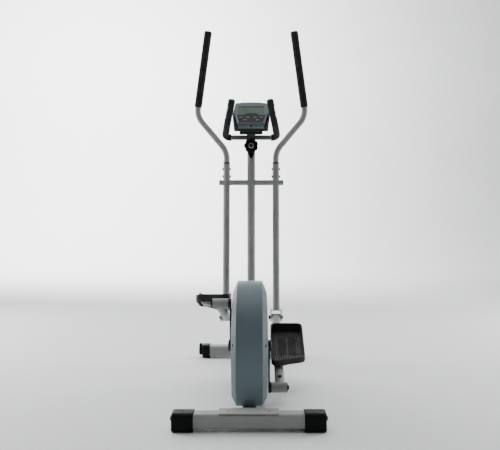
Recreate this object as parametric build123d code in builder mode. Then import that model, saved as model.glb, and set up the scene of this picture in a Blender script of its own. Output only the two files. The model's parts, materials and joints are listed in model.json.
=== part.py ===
"""Rear-drive elliptical trainer as separate parts in one shared frame.

Millimetres, +Z up, +Y towards the front (the way the user faces), +X to the user's right.
The origin is on the floor, halfway along and across the machine. The cranks stand upright at
rest: the left pedal is at the top of its path and the right pedal at the bottom.
"""

import os
from math import asin, cos, hypot, radians, sin

from build123d import *

os.makedirs("parts", exist_ok=True)

LEFT = -1
RIGHT = 1
SIDES = {"left": LEFT, "right": RIGHT}

# ---- Base ----
rear_y = -500.0
front_y = 500.0
bar_depth = 60.0  # stabilizer tube, front to back
bar_bottom = 8.0  # the end caps hold the tube off the floor
bar_top = 60.0
bar_corner = 13.0
bar_wall = 2.0
cap_skin = 4.0
cap_top = bar_top + cap_skin
rear_half = 265.0  # from the middle to the end of the rear cap
rear_cap_length = 75.0
front_half = 243.0
front_cap_length = 38.0
cap_end = 16.0  # solid end of a cap
cap_screw_z = 40.0
roller_radius = 28.5
roller_z = 40.5
roller_width = 14.0
roller_axle = 5.0
saddle_half = 103.0
saddle_thick = 4.0
spine_half = 25.0
spine_bottom = 10.0
spine_top = 46.0
bolt_x = 70.0
bolt_radius = 4.0

# ---- Crank, pulley, belt and flywheel ----
crank_y = -220.0
crank_z = 224.0
crank_radius = 162.0
crank_inner = 71.0
crank_plate = 77.5
crank_outer = 82.5
axle_radius = 10.0
shell_low = -40.0
shell_high = 4.0
bearing_radius = 21.0
bearing_width = 12.0
fit_gap = 0.05  # radial gap of a running fit
drive_radius = 140.0
belt_low = 9.0
belt_high = 23.0
belt_thick = 3.0
belt_gap = 0.4
pinion_radius = 17.0
flywheel_y = 15.0
flywheel_z = crank_z
flywheel_radius = 115.0
flywheel_low = -24.0
flywheel_high = 0.0
flywheel_bore = 6.0
fork_inner = 30.0
fork_outer = 35.0
servo_y = -124.0
servo_z = 326.0
servo_plate = ((-238, 246), (-202, 246), (-145, 300), (-99, 300), (-99, 352), (-149, 352))
idler_radius = 14.0
idler_axle = 5.0
brake_inner = 121.0
brake_outer = 133.0
hinge_angle = 130.0
hinge_reach = 128.0
hinge_radius = 4.0

# ---- Housing ----
disc_radius = 249.0
nose_radius = 150.0
rim_half = 47.0
cover_half = 69.0
cover_wall = 3.0
bevel_width = 41.0
bevel_x = 65.0
crown_inset = 120.0
band_wall = 2.5
housing_bottom = 48.0
hub_hole = 26.0
screw_ring = 222.0
screw_angles = (-46.0, 13.0, 71.0, 116.0)
nose_ring = 124.0
nose_angles = (118.0, 205.0)

# ---- Mast, arms and handlebars ----
mast_y = 420.0
mast_radius = 19.0
mast_wall = 2.0
mast_top = 1071.0
mast_foot = 48.0
socket_radius = 23.0
socket_top = 157.0
socket_bolts = (85.0, 135.0)
pivot_z = 866.0
pivot_radius = 8.0
cross_radius = 12.7
cross_half = 66.7
arm_x = 119.5
arm_radius = 16.0
arm_wall = 1.6
arm_top = 95.5  # above the pivot, along the arm
sleeve_low = 67.5
sleeve_high = 150.0
arm_pin_y = 360.0
arm_pin_z = crank_z
handle_radius = 14.3
handle_wall = 1.6
handle_foot = 17.0
handle_bends = ((119.5, 434.2, 1018.0), (264.3, 430.0, 1189.5))
handle_bend_radii = (100.0, 90.0)
handle_end = (206.2, 385.0, 1588.0)
grip_radius = 18.2
grip_foot_z = 1233.0
handle_bolt_heights = (30.0, 66.0)

# ---- Foot bars and pedals ----
foot_x = 117.0
foot_radius = 19.0
foot_wall = 2.0
hub_radius = 19.7
hub_low = 84.2
hub_high = 143.5
pin_radius = 9.0
bush_low = 97.5
bush_high = 139.5
bush_radius = 17.0
fork_plate = 4.0
fork_top = 36.0  # above the lower pivot
fork_low = 92.0
fork_high = 145.0
pedal_low = 86.0
pedal_high = 224.0
pedal_heel = 104.0  # ahead of the crank pin
pedal_skew = 38.0  # how much further ahead the heel starts at the outer side
pedal_toe = 380.0
tread = 45.0  # above the bar's centreline
pedal_base = 27.0
pedal_wall = 5.0
toe_height = 37.0
pedal_corner = 24.0
tread_thick = 4.0
plate_top = 25.0
pedal_brim = ((-10.0, 5.0), (75.0, 8.0), (170.0, 22.0), (216.0, 37.1))
pedal_ribs = (155.0, 176.0, 205.0)
tread_columns = (134.0, 174.0)
pedal_bolts = ((128.0, 172.0), (128.0, 290.0), (190.0, 172.0), (190.0, 290.0))

# ---- Fixed handlebar, clamp and console ----
pulse_y = 400.0
pulse_z = 1083.0
pulse_radius = 11.5
pulse_wall = 1.8
pulse_corner = (126.0, 400.0, 1083.0)
pulse_knee = (112.0, 310.0, 1135.0)
pulse_end = (88.0, 250.0, 1238.0)
pulse_bends = (24.0, 80.0)
pulse_grip = 16.3
pulse_grip_start = 96.0
pulse_plate_spans = ((38.0, 64.0), (68.0, 96.0))
clamp_half = 20.5
clamp_top = 1106.0
knob_z = 1041.0
knob_radius = 34.0
knob_lobes = 7
knob_front = 350.0
knob_back = 377.0
stud_radius = 5.0
console_origin = (0.0, 300.0, 1140.0)
console_tilt = 45.0
console_split = 20.0
console_depth = 46.0
window_half = 60.0
window_height = 52.0
window_middle = 104.0
front_profile = ((62.0, 0.0), (75.0, 71.0), (88.0, 76.0), (76.0, 158.0))
back_profile = ((80.0, -10.0), (88.0, 74.0), (77.0, 159.0))
bracket_tray = ((335, 1109.3), (343, 1095), (377, 1095), (377, 1151.3))
bracket_neck = ((376, 1106), (439, 1106), (439, 1128), (399, 1173.2), (376, 1150.2))
button_height = 2.0
buttons = ((-48.5, 45.0), (-17.0, 45.0), (17.0, 45.0), (48.5, 45.0), (-29.0, 25.5), (29.0, 25.5))


def save(name, builder):
    """Label a finished piece and write it as its own file."""
    builder.part.label = name
    export_step(builder.part, f"parts/{name}.step")


def span(side, near, far):
    """Lowest and highest X of a stretch given as distances out from the middle."""
    return (near, far) if side == RIGHT else (-far, -near)


def rod(plane, u, w, radius, low, high, mode=Mode.ADD):
    """A cylinder along the plane's normal, centred on (u, w)."""
    with BuildSketch(plane.offset(low)) as profile:
        with Locations((u, w)):
            Circle(radius)
    extrude(profile.sketch, amount=high - low, mode=mode)


def nut(plane, u, w, radius, low, high, mode=Mode.ADD):
    """A hexagonal prism along the plane's normal, centred on (u, w)."""
    with BuildSketch(plane.offset(low)) as profile:
        with Locations((u, w)):
            RegularPolygon(radius, 6)
    extrude(profile.sketch, amount=high - low, mode=mode)


def slab(plane, points, low, high, mode=Mode.ADD):
    """A polygon drawn on the plane and extruded along its normal."""
    with BuildSketch(plane.offset(low)) as profile:
        with BuildLine():
            Polyline(*points, close=True)
        make_face()
    extrude(profile.sketch, amount=high - low, mode=mode)


def link(plane, circles, low, high, mode=Mode.ADD):
    """A plate wrapped tightly around circles given as (u, w, radius)."""
    with BuildSketch(plane.offset(low)) as profile:
        for u, w, radius in circles:
            with Locations((u, w)):
                Circle(radius)
        make_hull()
    extrude(profile.sketch, amount=high - low, mode=mode)


def block(low, high, mode=Mode.ADD):
    """A box between two opposite corners."""
    size = [b - a for a, b in zip(low, high)]
    middle = [(a + b) / 2 for a, b in zip(low, high)]
    with Locations(tuple(middle)):
        Box(*size, mode=mode)


def bent_path(points, radii):
    """A line through the points with each inner corner rounded to its radius."""
    corners = [Vector(*point) for point in points]
    start = corners[0]
    with BuildLine() as path:
        for before, corner, after, radius in zip(corners, corners[1:], corners[2:], radii):
            incoming = (corner - before).normalized()
            outgoing = (after - corner).normalized()
            turn = radians(incoming.get_angle(outgoing))
            setback = radius * sin(turn / 2) / cos(turn / 2)
            into = corner - incoming * setback
            out = corner + outgoing * setback
            inward = (outgoing - incoming).normalized()
            middle = corner + inward * (radius / cos(turn / 2) - radius)
            Line(start, into)
            ThreePointArc(into, middle, out)
            start = out
        Line(start, corners[-1])
    return path.line


def pipe(path, radius, bore=0.0, mode=Mode.ADD):
    """A round tube or bar swept along a path."""
    with BuildSketch(Plane(origin=path @ 0, z_dir=path % 0)) as profile:
        Circle(radius)
        if bore:
            Circle(bore, mode=Mode.SUBTRACT)
    sweep(profile.sketch, path=path, mode=mode)


def polar(y, z, radius, angle):
    """A point on a circle about (y, z): 0 degrees is rearwards and 90 is up."""
    return (y - radius * cos(radians(angle)), z + radius * sin(radians(angle)))


screw_seat = 53.0
screw_points = [polar(crank_y, crank_z, screw_ring, angle) for angle in screw_angles]
screw_points += [polar(flywheel_y, flywheel_z, nose_ring, angle) for angle in nose_angles]


# ---- Linkage at rest ----
side_view = Plane.YZ
crank_pin_z = {LEFT: crank_z + crank_radius, RIGHT: crank_z - crank_radius}
arm_rise = pivot_z - arm_pin_z
arm_reach = mast_y - arm_pin_y
arm_length = hypot(arm_rise, arm_reach)
foot_length = hypot(arm_pin_y - crank_y, crank_radius)


def arm_plane():
    """Side view of a swing arm: origin on its pivot, x forwards and y up along the arm."""
    forwards = (0, arm_rise / arm_length, -arm_reach / arm_length)
    return Plane(origin=(0, mast_y, pivot_z), x_dir=forwards, z_dir=(1, 0, 0))


def foot_plane(side):
    """Side view of a foot bar: origin on the crank pin, x forwards along the bar and y up."""
    drop = arm_pin_z - crank_pin_z[side]
    along = (0, (arm_pin_y - crank_y) / foot_length, drop / foot_length)
    return Plane(origin=(0, crank_y, crank_pin_z[side]), x_dir=along, z_dir=(1, 0, 0))


def level_plane(view, height):
    """The plane a given height above a side view's x axis, facing up out of it."""
    origin = view.from_local_coords((0, height, 0))
    return Plane(origin=origin, x_dir=(1, 0, 0), z_dir=view.y_dir)


def rear_facing(y):
    """An upright plane at this Y, facing rearwards, x to the right."""
    return Plane(origin=(0, y, 0), x_dir=(1, 0, 0), z_dir=(0, -1, 0))


# ---- Stabilizers, caps and rollers ----
def stabilizer(name, y, half):
    """A flattened cross tube with holes for its two bolts."""
    middle = (bar_bottom + bar_top) / 2
    height = bar_top - bar_bottom
    with BuildPart() as tube:
        with BuildSketch(side_view):
            with Locations((y, middle)):
                RectangleRounded(bar_depth, height, bar_corner)
                RectangleRounded(
                    bar_depth - 2 * bar_wall,
                    height - 2 * bar_wall,
                    bar_corner - bar_wall,
                    mode=Mode.SUBTRACT,
                )
        extrude(amount=half - cap_end, both=True)
        with Locations((-bolt_x, y, middle), (bolt_x, y, middle)):
            Cylinder(bolt_radius + fit_gap, 2 * height, mode=Mode.SUBTRACT)
    save(name, tube)


def end_caps(name, y, half, length, foot_round):
    """Two moulded caps that slip over the tube's ends and carry the weight."""
    low = half - length
    reach = bar_depth / 2 + cap_skin
    with BuildPart() as caps:
        block((low, y - reach, 0), (half, y + reach, cap_top))
        fillet(caps.edges().filter_by(Axis.X).group_by(Axis.Z)[-1], bar_corner + 2)
        chamfer(caps.edges().filter_by(Axis.X).group_by(Axis.Z)[0], foot_round)
        fillet(caps.faces().sort_by(Axis.X)[-1].edges(), 8)
        with BuildSketch(side_view.offset(low)) as bore:
            with Locations((y, (bar_bottom + bar_top) / 2)):
                RectangleRounded(bar_depth, bar_top - bar_bottom, bar_corner)
        extrude(bore.sketch, amount=length - cap_end, mode=Mode.SUBTRACT)
        rod(side_view, y, cap_screw_z, bolt_radius, low, half + 1, Mode.SUBTRACT)
        mirror(about=Plane.YZ)
    save(name, caps)


def transport_roller(name, side):
    """A wheel at the end of the front bar that the machine is tipped onto and rolled on."""
    low = front_half + 1
    high = low + roller_width
    with BuildPart() as wheel:
        rod(side_view, front_y, roller_z, roller_radius, *span(side, low, high))
        fillet(wheel.edges().filter_by(GeomType.CIRCLE), 3)
        rod(side_view, front_y, roller_z, 20, *span(side, high - 3, high + 1), Mode.SUBTRACT)
        rod(side_view, front_y, roller_z, roller_axle + fit_gap, *span(side, low - 1, high), Mode.SUBTRACT)
    save(name, wheel)


stabilizer("rear_stabilizer", rear_y, rear_half)
stabilizer("front_stabilizer", front_y, front_half)
end_caps("rear_foot_caps", rear_y, rear_half, rear_cap_length, 6)
end_caps("front_foot_caps", front_y, front_half, front_cap_length, 16)
for side_name, side in SIDES.items():
    transport_roller(f"{side_name}_transport_roller", side)

with BuildPart() as foot_cap_screws:
    rod(side_view, rear_y, cap_screw_z, bolt_radius - fit_gap, rear_half - cap_end, rear_half)
    rod(side_view, rear_y, cap_screw_z, 8.5, rear_half + 0.1, rear_half + 6)
    fillet(foot_cap_screws.faces().sort_by(Axis.X)[-1].edges(), 4)
    rod(side_view, rear_y, cap_screw_z, bolt_radius - fit_gap, rear_half - 1, rear_half + 1)
    axle_end = front_half + roller_width + 1
    rod(side_view, front_y, roller_z, roller_axle, front_half + 0.1, axle_end)
    rod(side_view, front_y, roller_z, 8.5, axle_end - 2.6, axle_end)
    rod(side_view, front_y, cap_screw_z, bolt_radius - fit_gap, front_half - cap_end, front_half + 1)
    mirror(about=Plane.YZ)
save("foot_cap_screws", foot_cap_screws)

# ---- Main frame ----
saddle_run = front_y - bar_depth / 2
with BuildPart() as main_frame:
    with BuildSketch(Plane.XZ.offset(-saddle_run)) as spine_profile:
        with Locations((0, (spine_bottom + spine_top) / 2)):
            RectangleRounded(2 * spine_half, spine_top - spine_bottom, 4)
            RectangleRounded(2 * spine_half - 5, spine_top - spine_bottom - 5, 2, mode=Mode.SUBTRACT)
    extrude(spine_profile.sketch, amount=2 * saddle_run)
    for end in (rear_y, front_y):
        inner = end + bar_depth / 2 if end < 0 else end - bar_depth / 2
        flat = (end - 26, end + 30) if end < 0 else (end - 30, end + 26)
        block((-saddle_half, flat[0], bar_top), (saddle_half, flat[1], bar_top + saddle_thick))
        face = (inner, inner + saddle_thick) if end < 0 else (inner - saddle_thick, inner)
        block((-60, face[0], spine_bottom), (60, face[1], bar_top + saddle_thick))
        with Locations((-bolt_x, end, bar_top), (bolt_x, end, bar_top)):
            Cylinder(bolt_radius + fit_gap, 20, mode=Mode.SUBTRACT)
    # Upright and bottom bracket shell
    block((-spine_half, crank_y - 22, spine_top - 1), (3, crank_y + 22, crank_z - 8))
    rod(side_view, crank_y, crank_z, bearing_radius + 4, shell_low, shell_high)
    rod(side_view, crank_y, crank_z, bearing_radius + fit_gap, shell_low - 1, shell_high + 1, Mode.SUBTRACT)
    # Fork that carries the flywheel and the hinge of the magnet bracket
    hinge_at = polar(flywheel_y, flywheel_z, hinge_reach, hinge_angle)
    block((-fork_outer, flywheel_y - 40, spine_top - 1), (fork_outer, flywheel_y + 40, spine_top + 5))
    for side in (LEFT, RIGHT):
        low, high = span(side, fork_inner, fork_outer)
        link(side_view, ((flywheel_y, flywheel_z, 16), (*hinge_at, 9)), low, high)
        foot = ((flywheel_y - 30, spine_top + 10, 10), (flywheel_y + 30, spine_top + 10, 10))
        link(side_view, ((flywheel_y, flywheel_z, 16), *foot), low, high)
    rod(side_view, *hinge_at, hinge_radius, -fork_outer, fork_outer)
    rod(side_view, flywheel_y, flywheel_z, flywheel_bore + fit_gap, -60, 60, Mode.SUBTRACT)
    # Idler arm
    tilt = asin((drive_radius - pinion_radius) / (flywheel_y - crank_y))
    belt_side = drive_radius + belt_gap + belt_thick
    run = (flywheel_y - crank_y) * cos(tilt)
    idler_y = crank_y + (belt_side + belt_gap + idler_radius) * sin(tilt) + run / 2 * cos(tilt)
    idler_z = crank_z - (belt_side + belt_gap + idler_radius) * cos(tilt) + run / 2 * sin(tilt)
    link(side_view, ((idler_y, idler_z, 10), (idler_y, spine_top + 6, 14)), 25, 29)
    block((15, idler_y - 14, spine_top - 1), (29, idler_y + 14, spine_top + 4))
    rod(side_view, idler_y, idler_z, idler_axle, belt_low - 2, 27)
    # Bracket of the brake motor
    slab(side_view, servo_plate, -9, -4)
    # Socket of the mast
    with Locations((0, mast_y, (spine_top + socket_top) / 2)):
        Cylinder(socket_radius, socket_top - spine_top + 2)
        Cylinder(mast_radius + fit_gap, socket_top - spine_top + 20, mode=Mode.SUBTRACT)
    for height in socket_bolts:
        rod(side_view, mast_y, height, bolt_radius + fit_gap, -60, 60, Mode.SUBTRACT)
save("main_frame", main_frame)

with BuildPart() as frame_bolts:
    with Locations((bolt_x, rear_y, 0), (bolt_x, front_y, 0)):
        with Locations((0, 0, bar_bottom - 2)):
            Cylinder(8, 4 - fit_gap)
        with Locations((0, 0, (bar_bottom + bar_top + saddle_thick) / 2)):
            Cylinder(bolt_radius, bar_top + saddle_thick - bar_bottom)
    mirror(about=Plane.YZ)
    for height in socket_bolts:
        rod(side_view, mast_y, height, bolt_radius, -socket_radius - 6, socket_radius + 4)
        nut(side_view, mast_y, height, 7, -socket_radius - 6, -socket_radius - 0.1)
        rod(side_view, mast_y, height, 7, socket_radius + 0.1, socket_radius + 4)
save("frame_bolts", frame_bolts)

# ---- Crank, pulleys, belt and flywheel ----
with BuildPart() as crank_bearings:
    for low in (shell_low, shell_high - bearing_width):
        rod(side_view, crank_y, crank_z, bearing_radius, low, low + bearing_width)
        rod(side_view, crank_y, crank_z, axle_radius + fit_gap, low, low + bearing_width, Mode.SUBTRACT)
save("crank_bearings", crank_bearings)

with BuildPart() as crank_axle:
    rod(side_view, crank_y, crank_z, axle_radius, -crank_outer, crank_outer)
    for side in (LEFT, RIGHT):
        rod(side_view, crank_y, crank_z, 13, *span(side, crank_outer, crank_outer + 1.5))
save("crank_axle", crank_axle)

for side_name, side in SIDES.items():
    with BuildPart() as crank_arm:
        ends = ((crank_y, crank_z, 19), (crank_y, crank_pin_z[side], 15))
        link(side_view, ends, *span(side, crank_inner, crank_plate))
        rod(side_view, crank_y, crank_z, 22, *span(side, crank_inner, crank_outer))
        rod(side_view, crank_y, crank_pin_z[side], 21, *span(side, crank_inner, crank_outer))
        fillet(crank_arm.faces().group_by(Axis.X)[-1 if side == RIGHT else 0].edges(), 1.5)
        rod(side_view, crank_y, crank_z, axle_radius + fit_gap, -100, 100, Mode.SUBTRACT)
    save(f"{side_name}_crank_arm", crank_arm)

with BuildPart() as drive_pulley:
    rod(side_view, crank_y, crank_z, drive_radius, belt_low, belt_high)
    for low, high in ((belt_low, belt_low + 5), (belt_high - 5, belt_high)):
        rod(side_view, crank_y, crank_z, drive_radius - 10, low, high, Mode.SUBTRACT)
    with BuildSketch(side_view) as windows:
        with Locations((crank_y, crank_z)):
            with PolarLocations(82, 6):
                Circle(24)
    extrude(windows.sketch, amount=belt_high, mode=Mode.SUBTRACT)
    rod(side_view, crank_y, crank_z, 26, shell_high + 1, belt_high)
    rod(side_view, crank_y, crank_z, axle_radius + fit_gap, 0, 40, Mode.SUBTRACT)
save("drive_pulley", drive_pulley)

with BuildPart() as drive_belt:
    for grow, mode in ((belt_thick + belt_gap, Mode.ADD), (belt_gap, Mode.SUBTRACT)):
        wheels = (
            (crank_y, crank_z, drive_radius + grow),
            (flywheel_y, flywheel_z, pinion_radius + grow),
        )
        link(side_view, wheels, belt_low + 0.5, belt_high - 0.5, mode)
save("drive_belt", drive_belt)

with BuildPart() as flywheel:
    rod(side_view, flywheel_y, flywheel_z, flywheel_radius, flywheel_low, flywheel_high)
    chamfer(flywheel.edges().filter_by(GeomType.CIRCLE), 2)
    for low, high in ((flywheel_low, flywheel_low + 8), (flywheel_high - 8, flywheel_high)):
        rod(side_view, flywheel_y, flywheel_z, flywheel_radius - 22, low, high, Mode.SUBTRACT)
    rod(side_view, flywheel_y, flywheel_z, 24, flywheel_low - 4, flywheel_high)
    rod(side_view, flywheel_y, flywheel_z, pinion_radius, flywheel_high - 8, belt_high + 2)
    rod(side_view, flywheel_y, flywheel_z, flywheel_bore + fit_gap, -60, 60, Mode.SUBTRACT)
save("flywheel", flywheel)

with BuildPart() as flywheel_axle:
    rod(side_view, flywheel_y, flywheel_z, flywheel_bore, -fork_outer - 12, fork_outer + 12)
    for side in (LEFT, RIGHT):
        nut(side_view, flywheel_y, flywheel_z, 10, *span(side, fork_outer + 0.1, fork_outer + 8))
save("flywheel_axle", flywheel_axle)

with BuildPart() as idler_pulley:
    rod(side_view, idler_y, idler_z, idler_radius, belt_low, belt_high)
    rod(side_view, idler_y, idler_z, idler_axle + fit_gap, 0, 40, Mode.SUBTRACT)
save("idler_pulley", idler_pulley)

with BuildPart() as magnet_bracket:
    with BuildSketch(side_view.offset(flywheel_low - 4)) as arc:
        with Locations((flywheel_y, flywheel_z)):
            Circle(brake_outer)
            Circle(brake_inner, mode=Mode.SUBTRACT)
        with BuildLine():
            Polyline(
                (flywheel_y, flywheel_z),
                polar(flywheel_y, flywheel_z, 200, 62),
                polar(flywheel_y, flywheel_z, 250, 92),
                polar(flywheel_y, flywheel_z, 200, hinge_angle - 2),
                close=True,
            )
        make_face(mode=Mode.INTERSECT)
    extrude(arc.sketch, amount=flywheel_high + 4 - (flywheel_low - 4))
    rod(side_view, *hinge_at, 8, -fork_inner + 1, fork_inner - 1)
    rod(side_view, *hinge_at, hinge_radius + fit_gap, -60, 60, Mode.SUBTRACT)
save("magnet_bracket", magnet_bracket)

with BuildPart() as brake_servo:
    block((-42, servo_y - 25, servo_z - 24), (-9.2, servo_y + 25, servo_z + 24))
    fillet(brake_servo.edges().filter_by(Axis.X), 5)
    rod(side_view, servo_y, servo_z, 9, -48, -40)
save("brake_servo", brake_servo)

# ---- Housing ----
def outline(x, inset):
    """The housing's side view pulled in by an inset, at this distance from the middle."""
    with BuildSketch(side_view.offset(x)) as shape:
        with Locations((crank_y, crank_z)):
            Circle(disc_radius - inset)
        with Locations((flywheel_y, flywheel_z)):
            Circle(nose_radius - inset)
        make_hull()
        with Locations((0, housing_bottom + inset / 2 - 500)):
            Rectangle(2000, 1000, mode=Mode.SUBTRACT)
    return shape.sketch


for side_name, side in SIDES.items():
    with BuildPart() as cover:
        for drop, mode in ((0, Mode.ADD), (cover_wall, Mode.SUBTRACT)):
            near = rim_half + 0.3 - (0.5 if drop else 0)
            rim = outline(side * near, drop)
            shoulder = outline(side * (bevel_x - drop), bevel_width + drop / 2)
            crown = outline(side * (cover_half - drop), crown_inset)
            loft([rim.face(), shoulder.face()], ruled=True, mode=mode)
            loft([shoulder.face(), crown.face()], ruled=True, mode=mode)
        low, high = span(side, rim_half, cover_half + 5)
        rod(side_view, crank_y, crank_z, hub_hole, low, high, Mode.SUBTRACT)
        for y, z in screw_points:
            rod(side_view, y, z, 3.2, low, high, Mode.SUBTRACT)
            rod(side_view, y, z, 5.5, *span(side, screw_seat, cover_half), Mode.SUBTRACT)
    save(f"{side_name}_cover", cover)

with BuildPart() as rim_band:
    extrude(outline(0, 0), amount=rim_half, both=True)
    extrude(outline(0, band_wall), amount=rim_half, both=True, mode=Mode.SUBTRACT)
    block((-rim_half, crank_y - 170, 0), (rim_half, flywheel_y + 80, 94), Mode.SUBTRACT)
save("rim_band", rim_band)

with BuildPart() as cover_screws:
    for y, z in screw_points:
        rod(side_view, y, z, 3.1, rim_half + 1, screw_seat)
        rod(side_view, y, z, 4.8, screw_seat, screw_seat + 2.2)
    mirror(about=Plane.YZ)
save("cover_screws", cover_screws)

# ---- Mast ----
with BuildPart() as mast:
    with BuildSketch(Plane.XY.offset(mast_foot)) as mast_profile:
        with Locations((0, mast_y)):
            Circle(mast_radius)
    extrude(mast_profile.sketch, amount=mast_top - mast_foot)
    rod(side_view, mast_y, pivot_z, cross_radius, -cross_half, cross_half)
    with BuildSketch(Plane.XY.offset(mast_foot)) as mast_bore:
        with Locations((0, mast_y)):
            Circle(mast_radius - mast_wall)
    extrude(mast_bore.sketch, amount=mast_top - mast_foot, mode=Mode.SUBTRACT)
    rod(side_view, mast_y, pivot_z, pivot_radius + fit_gap, -80, 80, Mode.SUBTRACT)
    for height in socket_bolts:
        rod(side_view, mast_y, height, bolt_radius + fit_gap, -60, 60, Mode.SUBTRACT)
    with Locations(Plane(origin=(0, mast_y, knob_z), z_dir=(0, -1, 0))):
        Cylinder(stud_radius + 0.5, 60, mode=Mode.SUBTRACT)
save("mast", mast)

with BuildPart() as pivot_axle:
    rod(side_view, mast_y, pivot_z, pivot_radius, -sleeve_high - 1, sleeve_high + 1)
    for side in (LEFT, RIGHT):
        rod(side_view, mast_y, pivot_z, cross_radius, *span(side, sleeve_high + 0.8, sleeve_high + 5.5))
    fillet(pivot_axle.faces().sort_by(Axis.X)[-1].edges(), 3.5)
    fillet(pivot_axle.faces().sort_by(Axis.X)[0].edges(), 3.5)
save("pivot_axle", pivot_axle)

# ---- Swing arms, handlebars and grips ----
arm_view = arm_plane()
for side_name, side in SIDES.items():
    across = Plane(origin=(side * arm_x, mast_y, pivot_z), x_dir=(1, 0, 0), z_dir=arm_view.y_dir)
    with BuildPart() as swing_arm:
        with BuildSketch(across.offset(fork_top - arm_length)) as tube:
            Circle(arm_radius)
        extrude(tube.sketch, amount=arm_top + arm_length - fork_top)
        rod(arm_view, 0, 0, cross_radius, *span(side, sleeve_low, sleeve_high))
        block_low, block_high = span(side, fork_low, fork_high)
        cheek = ((0, -arm_length, 21), (0, fork_top - arm_length - 10, 13))
        link(arm_view, cheek, *span(side, fork_low, fork_low + fork_plate))
        link(arm_view, cheek, *span(side, fork_high - fork_plate, fork_high))
        roof = fork_top - arm_length
        slab(arm_view, ((-16, roof - 4), (16, roof - 4), (16, roof), (-16, roof)), block_low, block_high)
        with BuildSketch(across.offset(fork_top - arm_length + 4)) as bore:
            Circle(arm_radius - arm_wall)
        extrude(bore.sketch, amount=arm_length + arm_top, mode=Mode.SUBTRACT)
        rod(arm_view, 0, 0, pivot_radius + 3, *span(side, sleeve_low - 1, sleeve_high + 1), Mode.SUBTRACT)
        rod(arm_view, 0, -arm_length, bolt_radius + 1 + fit_gap, -200, 200, Mode.SUBTRACT)
        for height in handle_bolt_heights:
            rod(arm_view, 0, height, 3.6, *span(side, 90, 150), Mode.SUBTRACT)
    save(f"{side_name}_swing_arm", swing_arm)

    foot = across.from_local_coords((0, 0, handle_foot))
    bends = [(side * x, y, z) for x, y, z in handle_bends]
    top = (side * handle_end[0], *handle_end[1:])
    path = bent_path([foot, *bends, top], handle_bend_radii)
    with BuildPart() as handlebar:
        pipe(path, handle_radius, handle_radius - handle_wall)
        for height in handle_bolt_heights:
            rod(arm_view, 0, height, 3.6, *span(side, 90, 150), Mode.SUBTRACT)
    save(f"{side_name}_handlebar", handlebar)

    end = Vector(*top)
    rise = (end - Vector(*bends[1])).normalized()
    start = end - rise * ((end.Z - grip_foot_z) / rise.Z)
    with BuildPart() as grip:
        with BuildSketch(Plane(origin=start, z_dir=rise)) as ring:
            Circle(grip_radius)
        extrude(ring.sketch, amount=(end - start).length + 4)
        fillet(grip.faces().sort_by(Axis.Z)[-1].edges(), 7)
        with BuildSketch(Plane(origin=start, z_dir=rise)) as bore:
            Circle(handle_radius + fit_gap)
        extrude(bore.sketch, amount=(end - start).length + fit_gap, mode=Mode.SUBTRACT)
    save(f"{side_name}_handlebar_grip", grip)

    with BuildPart() as handlebar_bolts:
        near, far = arm_x - arm_radius - 5, arm_x + arm_radius + 5
        for height in handle_bolt_heights:
            rod(arm_view, 0, height, 3.5, *span(side, near + 1, far - 1))
            rod(arm_view, 0, height, 6, *span(side, near, near + 4.9))
            rod(arm_view, 0, height, 6, *span(side, far - 4.9, far))
    save(f"{side_name}_handlebar_bolts", handlebar_bolts)

    with BuildPart() as arm_bushes:
        for low in (sleeve_low, sleeve_high - 16):
            rod(arm_view, 0, 0, pivot_radius + 3 - fit_gap, *span(side, low, low + 16))
        rod(arm_view, 0, 0, pivot_radius + fit_gap, -200, 200, Mode.SUBTRACT)
    save(f"{side_name}_arm_bushes", arm_bushes)


def sole(view, side, height, inset=0.0):
    """The outline of a pedal at a height over its foot bar: a rounded plate with an oblique heel."""
    inner, outer = side * (pedal_low + inset), side * (pedal_high - inset)
    with BuildSketch(level_plane(view, height)) as profile:
        with BuildLine():
            Polyline(
                (inner, pedal_heel + inset),
                (outer, pedal_heel + pedal_skew + inset),
                (outer, pedal_toe - inset),
                (inner, pedal_toe - inset),
                close=True,
            )
        make_face()
        fillet(profile.vertices(), pedal_corner - inset)
    return profile.sketch


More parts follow.
